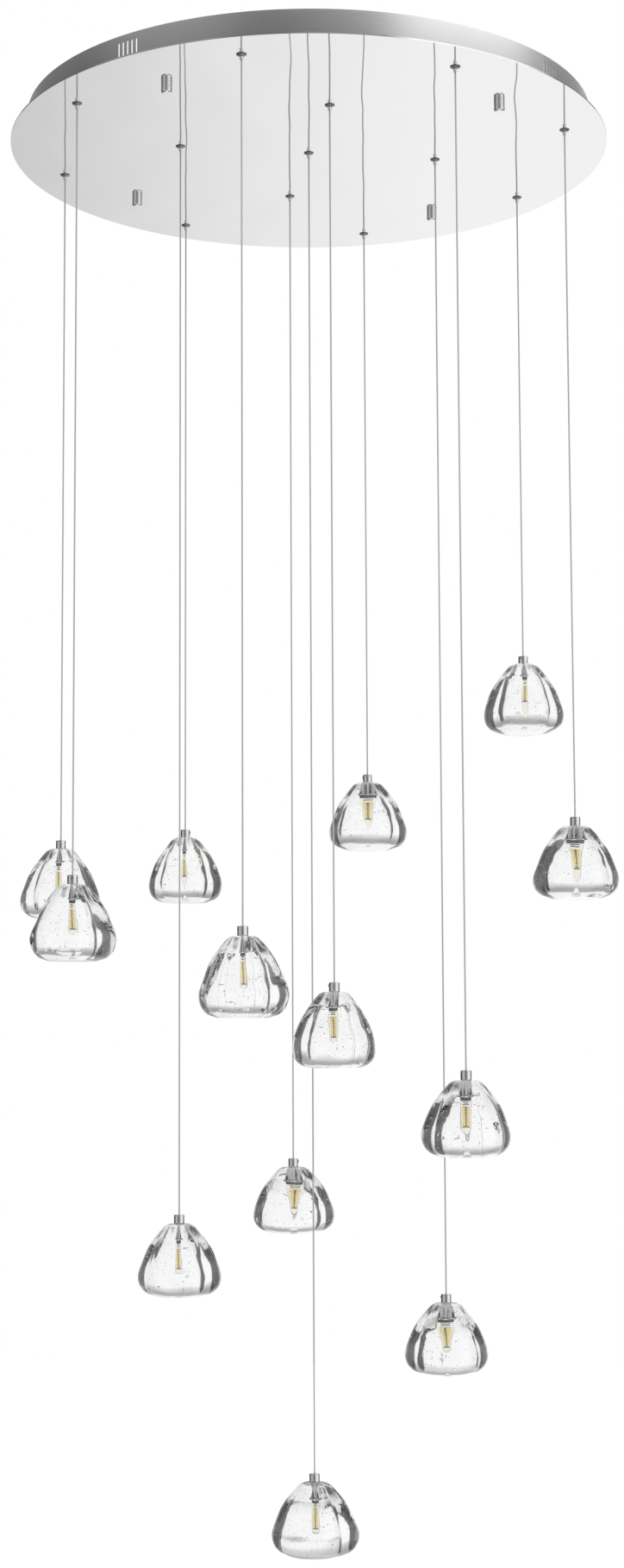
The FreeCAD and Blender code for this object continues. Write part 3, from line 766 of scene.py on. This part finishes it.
def lens_wave(angles, down_share, reach, crease_share, half, above, below):
    """A change of the front lobe, as a share of its crest, that makes what stands in the middle look
    the wanted number of times as wide. A sight line to the edge of the wanted width must be bent
    to the real edge. With b that bend and n the index, the surface has to face away from the
    front by the angle whose tangent is n sin b / (n cos b - 1). One minus the cosine of a
    multiple of the angle is added to the lobe, with the height that gives this slope there. High
    up the wall leans, so a ray gets to the middle sooner and has to be bent more."""
    blend = np.clip((down_share - LENS_SPAN[0]) / (LENS_SPAN[1] - LENS_SPAN[0]), 0, 1)
    blend = blend * blend * (3 - 2 * blend)
    times = above + (below - above) * blend
    real = (SEEN_HALF_WIDTHS[0] + (SEEN_HALF_WIDTHS[1] - SEEN_HALF_WIDTHS[0]) * blend) / reach
    seen = np.minimum(real * times, WIDEST_SEEN)
    angle = np.arcsin(seen)
    way = (WAY_ABOVE + (1 - WAY_ABOVE) * blend) * np.cos(angle)
    bend = np.arctan2(seen - seen / times, way)
    facing = np.arctan2(GLASS_INDEX * np.sin(bend), GLASS_INDEX * np.cos(bend) - 1)
    offset = (1 - crease_share ** 2) / (2 * (1 - crease_share * math.cos(half)))
    circle = np.arcsin(seen / (1 - offset))
    waves = np.where(facing > circle, WIDER_WAVES, NARROWER_WAVES)
    height = (np.tan(facing - angle) - np.tan(circle - angle)) / (waves * np.sin(waves * angle))
    waves, height = waves[:, None], height[:, None]
    return -height * (1 - np.cos(waves * angles)) * (np.abs(angles) < 2 * np.pi / waves)


def casting_waves(rng, angles, down_share, size):
    """A few slanted waves round and down the casting, with random phases, smaller where shorter."""
    total = np.zeros((len(down_share), len(angles)))
    for round_count in WAVES_ROUND:
        down_count = rng.uniform(*WAVES_DOWN)
        phase = rng.uniform(0, 2 * np.pi)
        depth = size / round_count ** WAVE_POWER
        total += depth * np.sin(round_count * angles + 2 * np.pi * down_count * down_share[:, None] + phase)
    return total


# %% The glass as a grid
COLUMNS_PER_LOBE = 66
BODY_ROWS = 90
CAP_ROWS, CAP_INNER = 6, 0.15
CURVE_STEPS = 40


def smooth_curve(points, count):
    """A Catmull-Rom curve: between two points a cubic whose end slopes follow the neighbours. The
    rows are spread evenly along its length."""
    padded = np.vstack([2 * points[0] - points[1], points, 2 * points[-1] - points[-2]])
    t = np.linspace(0, 1, CURVE_STEPS, endpoint=False)[:, None]
    spans = []
    for before, start, end, after in zip(padded, padded[1:], padded[2:], padded[3:]):
        slope = end - before
        bend = 2 * before - 5 * start + 4 * end - after
        twist = after - before + 3 * (start - end)
        spans.append(start + (slope * t + bend * t ** 2 + twist * t ** 3) / 2)
    curve = np.vstack(spans + [points[-1:]])
    length = np.concatenate([[0], np.cumsum(np.linalg.norm(np.diff(curve[:, :2], axis=0), axis=1))])
    even = np.linspace(0, length[-1], count)
    return np.stack([np.interp(even, length, column) for column in curve.T], axis=-1)


def spread_columns(creases):
    """The angles of the columns, closer together beside a crease, as a cosine spreads them."""
    spread = (1 - np.cos(np.linspace(0, np.pi, COLUMNS_PER_LOBE, endpoint=False))) / 2
    ends = creases[1:] + (creases[0] + 360,)
    angles = np.concatenate([start + (end - start) * spread for start, end in zip(creases, ends)])
    return np.radians((angles + 180) % 360 - 180)


def glass_rings(number):
    """Rows of points from the top disc to the base, round the glass's own axis with its top at 0.
    An angle is counted from the front, and the lobes' circles, groove and waves give the radius."""
    left, right = LEFT_CREASES[number], RIGHT_CREASES[number]
    creases = (left, right, (left + right) / 2 + 180)
    angles = spread_columns(creases)
    crest = GLASS_WIDTH * WIDTHS[number] / 2 * CREST_TO_WIDTH
    height = GLASS_HEIGHT * GLASS_HEIGHTS[number]
    down, reach, crease_share = smooth_curve(OUTLINE * (height, crest, 1.0), BODY_ROWS).T
    crease_share = crease_share - GROOVE / 4
    front = round_lobe(angles, left, right, 1.0, crease_share)
    right_side = round_lobe(angles, right, creases[2], SIDE_LOBE, crease_share)
    left_side = round_lobe(angles, creases[2] - 360, left, SIDE_LOBE, crease_share)
    section = soft_larger(soft_larger(front, right_side, GROOVE), left_side, GROOVE)
    half = math.radians(right - left) / 2
    section += lens_wave(angles, down / height, reach, crease_share, half, LOOKS_ABOVE[number],
                         LOOKS_BELOW[number])
    section += casting_waves(np.random.default_rng(number), angles, down / height, WAVE_SIZES[number])
    radius = reach[:, None] * section
    inner = np.linspace(CAP_INNER, 1, CAP_ROWS, endpoint=False)[:, None]
    radius = np.vstack([radius[0] * inner, radius, radius[-1] * inner[::-1]])
    level = -np.concatenate([np.zeros(CAP_ROWS), down, np.full(CAP_ROWS, height)])
    return level_rings(radius, level, angles - np.pi / 2)


# %% [markdown]
# Seed bubbles are small voids in the casting. Light leaves the glass into a void and enters again,
# so a void is a closed skin inside the glass that faces into the void. Each has few faces,
# because there are hundreds. They lie anywhere between the lamp's space and the surface.

# %% Seed bubbles
BUBBLES = 900
BUBBLE_RADII = (0.18 * MM, 0.52 * MM)
LAMP_SPACE = 9 * MM
UNDER_SURFACE = 1.2 * MM
# Rows that are narrower than this hold none, and neither do the lowest few
NARROWEST = LAMP_SPACE + 4 * UNDER_SURFACE
LOWEST_ROWS = 4
# A power under 1 puts more of them near the surface, and a power over 1 makes more of them small
OUTWARD_POWER, SMALL_POWER = 0.6, 2
TALLNESS = (1.0, 1.4)
BUBBLE_ROWS, BUBBLE_COLUMNS = 3, 6


def bubble_skins(rng, rings):
    """The points and faces of all bubbles of a glass. One ball with its rings reversed is scaled and
    moved to every bubble's place, between the lamp's space and the surface beside it."""
    body = rings[CAP_ROWS:-CAP_ROWS]
    wide = np.flatnonzero(np.linalg.norm(body[:, :, :2], axis=2).min(1) > NARROWEST)
    rows = rng.choice(wide[:-LOWEST_ROWS], BUBBLES)
    columns = rng.integers(0, body.shape[1], BUBBLES)
    surface = body[rows, columns]
    outer = np.linalg.norm(surface[:, :2], axis=1)
    share = rng.uniform(0, 1, BUBBLES) ** OUTWARD_POWER
    reach = LAMP_SPACE + (outer - UNDER_SURFACE - LAMP_SPACE) * share
    middles = np.column_stack([surface[:, :2] * (reach / outer)[:, None], surface[:, 2]])
    small, large = BUBBLE_RADII
    radii = small + (large - small) * rng.uniform(0, 1, BUBBLES) ** SMALL_POWER
    sizes = np.column_stack([radii, radii, radii * rng.uniform(*TALLNESS, BUBBLES)])
    down = np.linspace(0, np.pi, BUBBLE_ROWS + 2)[1:-1]
    ball = level_rings(np.sin(down)[:, None], np.cos(down), full_turn(BUBBLE_COLUMNS)[::-1])
    points, quads, triangles = skin(ball)
    points[-2:] = (0, 0, 1), (0, 0, -1)
    starts = (np.arange(BUBBLES) * len(points))[:, None, None]
    return ((points * sizes[:, None, :] + middles[:, None, :]).reshape(-1, 3),
            (quads + starts).reshape(-1, 4), (triangles + starts).reshape(-1, 3))


# %% Glasses in their places
BUBBLE_SEED = 100
GROUND_DEPTH = 0.05 * MM


def axis_of(label):
    """The upright axis of a pendant, in plan."""
    low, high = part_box("cable_" + label)
    return (low[0] + high[0]) / 2, (low[1] + high[1]) / 2


for number, label in enumerate(LABELS):
    rings = glass_rings(number)
    rng = np.random.default_rng(BUBBLE_SEED + number)
    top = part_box("glass_" + label)[1][2]
    shape = moved(join([skin(rings), bubble_skins(rng, rings)]), (*axis_of(label), top))
    piece = make_piece("cast_glass_" + label, shape, [clear_glass, ground_glass], "pendant_" + label,
                       "glass_" + label)
    faces = piece.data.polygons
    ground = read_all(faces, "center", 3, float)[2::3] > top - GROUND_DEPTH
    faces.foreach_set("material_index", ground.astype(int))
print("glass of", len(faces), "faces")

# %% [markdown]
# The lamp holder is turned from brass: a chromed cap on the glass, below it a satin tube that widens
# downwards in the bore, a chromed ring, and the lamp's ceramic socket. A small screw through the
# cap's side grips the cable.

# %% Lamp holders
CAP_RADIUS, CAP_HEIGHT = 6.75 * MM, 12 * MM
CABLE_HOLE = 1.3 * MM
TUBE_TOP, TUBE_END, TUBE_LENGTH = 4.2 * MM, 5.3 * MM, 24 * MM
RING_RADIUS, RING_HEIGHT = 7 * MM, 2.2 * MM
SOCKET_RADIUS, SOCKET_HEIGHT = 4.5 * MM, 5 * MM
EASE, CAP_EASE, SCREW_EASE = 0.5 * MM, 1.1 * MM, 0.2 * MM
TURNED_COLUMNS, SCREW_COLUMNS = 48, 24
# Edges where the surface turns by more than this many degrees stay sharp
SHARP_ANGLE = 40
SCREW_RADIUS, SCREW_PROUD, SCREW_DOWN = 1.5 * MM, 0.6 * MM, 4 * MM
SCREW_TURNS = (150, -80, 80, 170, -75, 200, -85, 85, 160, 0, 190, 140, -150)

tube_end = -CAP_HEIGHT - TUBE_LENGTH
ring_end = tube_end - RING_HEIGHT
socket_end = ring_end - SOCKET_HEIGHT
cap_profile = eased([(CABLE_HOLE, -2 * EASE), (CABLE_HOLE, 0), (CAP_RADIUS, 0), (CAP_RADIUS, -CAP_HEIGHT),
                     (TUBE_TOP - EASE, -CAP_HEIGHT)], CAP_EASE)
tube_profile = eased([(TUBE_TOP - EASE, -CAP_HEIGHT), (TUBE_TOP, -CAP_HEIGHT), (TUBE_END, tube_end),
                      (TUBE_END - EASE, tube_end)], EASE)
ring_profile = eased([(TUBE_END - EASE, tube_end), (RING_RADIUS, tube_end), (RING_RADIUS, ring_end),
                      (SOCKET_RADIUS - EASE, ring_end)], EASE)
socket_profile = eased([(SOCKET_RADIUS - EASE, ring_end), (SOCKET_RADIUS, ring_end),
                        (SOCKET_RADIUS, socket_end), (EASE, socket_end)], EASE)


def sideways(shape, turn):
    """A turned shape laid on its side, its top outwards at an angle from the front."""
    points, quads, triangles = shape
    angle = math.radians(turn - 90)
    outward = np.array((math.cos(angle), math.sin(angle), 0))
    across = np.array((-math.sin(angle), math.cos(angle), 0))
    x, y, z = points.T
    return np.outer(z, outward) + np.outer(x, across) + np.outer(y, (0, 0, 1)), quads, triangles


def holder_top(label):
    """The middle of the top of a pendant's lamp holder."""
    return np.array((*axis_of(label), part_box("lamp_holder_" + label)[1][2]))


screw_reach = CAP_RADIUS + SCREW_PROUD
screw_profile = eased([(SCREW_RADIUS / 2, screw_reach - SCREW_RADIUS), (SCREW_RADIUS / 2, screw_reach),
                       (SCREW_RADIUS, screw_reach), (SCREW_RADIUS, CAP_RADIUS - SCREW_RADIUS)], SCREW_EASE)
screw = turned(screw_profile, SCREW_COLUMNS)
turned_pieces = [(name, turned(profile, TURNED_COLUMNS), material) for name, profile, material in (
    ("glass_cap_", cap_profile, chrome), ("holder_tube_", tube_profile, satin_chrome),
    ("holder_ring_", ring_profile, chrome), ("lamp_socket_", socket_profile, ceramic))]
for label, turn in zip(LABELS, SCREW_TURNS):
    side_screw = moved(sideways(screw, turn), (0, 0, -SCREW_DOWN))
    for name, shape, material in turned_pieces + [("grip_screw_", side_screw, dark_chrome)]:
        make_piece(name + label, moved(shape, holder_top(label)), [material], "pendant_" + label,
                   "lamp_holder_" + label, SHARP_ANGLE)

# %% [markdown]
# The lamp has a clear base with two wire loops, a clear capsule, and inside it a narrow strip with
# a yellow light bar on each side of a dark middle line.

# %% Lamps
LAMP_RADIUS, LAMP_BASE, CAPSULE_LENGTH = 4.5 * MM, 7 * MM, 29 * MM
STRIP = np.array((6.6, 1.0, 24.0)) * MM
BAR = np.array((2.4, 0.6, 22.0)) * MM
STRIP_EASE, BAR_EASE = 0.2 * MM, 0.25 * MM
BAR_SHIFT = np.array((STRIP[0] - BAR[0], -STRIP[1] - BAR[1], -2 * LAMP_BASE - BAR[2])) / 2
LOOP_WIRE, LOOP_RADIUS = 0.35 * MM, 2.4 * MM
LOOP_DEPTHS = (2.2 * MM, 4.6 * MM)
BLOCK_COLUMNS, LOOP_COLUMNS, WIRE_COLUMNS = 24, 28, 8
# The capsule's upper edge is bevelled, and its lower end is a dome that stops just short of its tip
BEVEL = ((0.6 * MM, 0.2 * MM), (0, 0.8 * MM))
DOME_TURNS = np.radians(np.linspace(0, 85, 10))


def block(size, middle, ease):
    """A block with eased edges: a level rounded rectangle carried down, drawn in at both ends."""
    turn = full_turn(BLOCK_COLUMNS)
    corner = np.stack([np.cos(turn), np.sin(turn)], axis=-1)
    square = np.sign(corner) * (size[:2] / 2 - ease) + corner * ease
    half = size[2] / 2
    rows = [(ease, half), (0, half - ease), (0, ease - half), (ease, -half)]
    rings = [np.column_stack([square * (1 - inset / size[:2] * 2), np.full(BLOCK_COLUMNS, level)])
             for inset, level in rows]
    return skin(np.array(rings) + middle)


def wire_loop(radius, wire, middle):
    """A level ring of wire: a small circle carried round a larger one. Its last row of quads leads
    back to its first points."""
    small = full_turn(WIRE_COLUMNS)
    reach = radius + wire * np.cos(small)
    points = level_rings(reach[:, None], wire * np.sin(small), full_turn(LOOP_COLUMNS)).reshape(-1, 3)
    quads = ring_quads(WIRE_COLUMNS + 1, LOOP_COLUMNS)[:, ::-1] % len(points)
    return points + middle, quads, np.empty((0, 3), int)


dome_middle = LAMP_RADIUS - LAMP_BASE - CAPSULE_LENGTH
capsule = turned([(LAMP_RADIUS - inset, -depth) for inset, depth in BEVEL] +
                 [(LAMP_RADIUS * math.cos(turn), dome_middle - LAMP_RADIUS * math.sin(turn))
                  for turn in DOME_TURNS], TURNED_COLUMNS)
strip = block(STRIP, (0, 0, -LAMP_BASE - STRIP[2] / 2), STRIP_EASE)
bars = join([block(BAR, BAR_SHIFT * (side, 1, 1), BAR_EASE) for side in (-1, 1)])
loops = join([wire_loop(LOOP_RADIUS, LOOP_WIRE, (0, 0, -depth)) for depth in LOOP_DEPTHS])
lamp_pieces = (("lamp_capsule_", capsule, capsule_clear), ("lamp_strip_", strip, strip_ceramic),
               ("light_bars_", bars, phosphor), ("lamp_loops_", loops, loop_metal))
for label in LABELS:
    for name, shape, material in lamp_pieces:
        make_piece(name + label, moved(shape, holder_top(label) + (0, 0, socket_end)), [material],
                   "pendant_" + label, "lamp_" + label)

# %% [markdown]
# The canopy's pieces keep the model's own meshes, which are right as they are, and get their
# finishes here in place of the plain ones.

# %% Finishes of the canopy
for name, material in (("mirror_plate", mirror_steel), ("rim_band", brushed_steel),
                       ("ceiling_bracket", zinc_steel), ("cap_nuts", nut_chrome),
                       ("cable_glands", gland_chrome), ("junction_block", white_plastic),
                       ("lamp_driver", grey_plastic), ("internal_wiring", wire_jacket)):
    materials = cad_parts[name].data.materials
    materials.clear()
    materials.append(material)
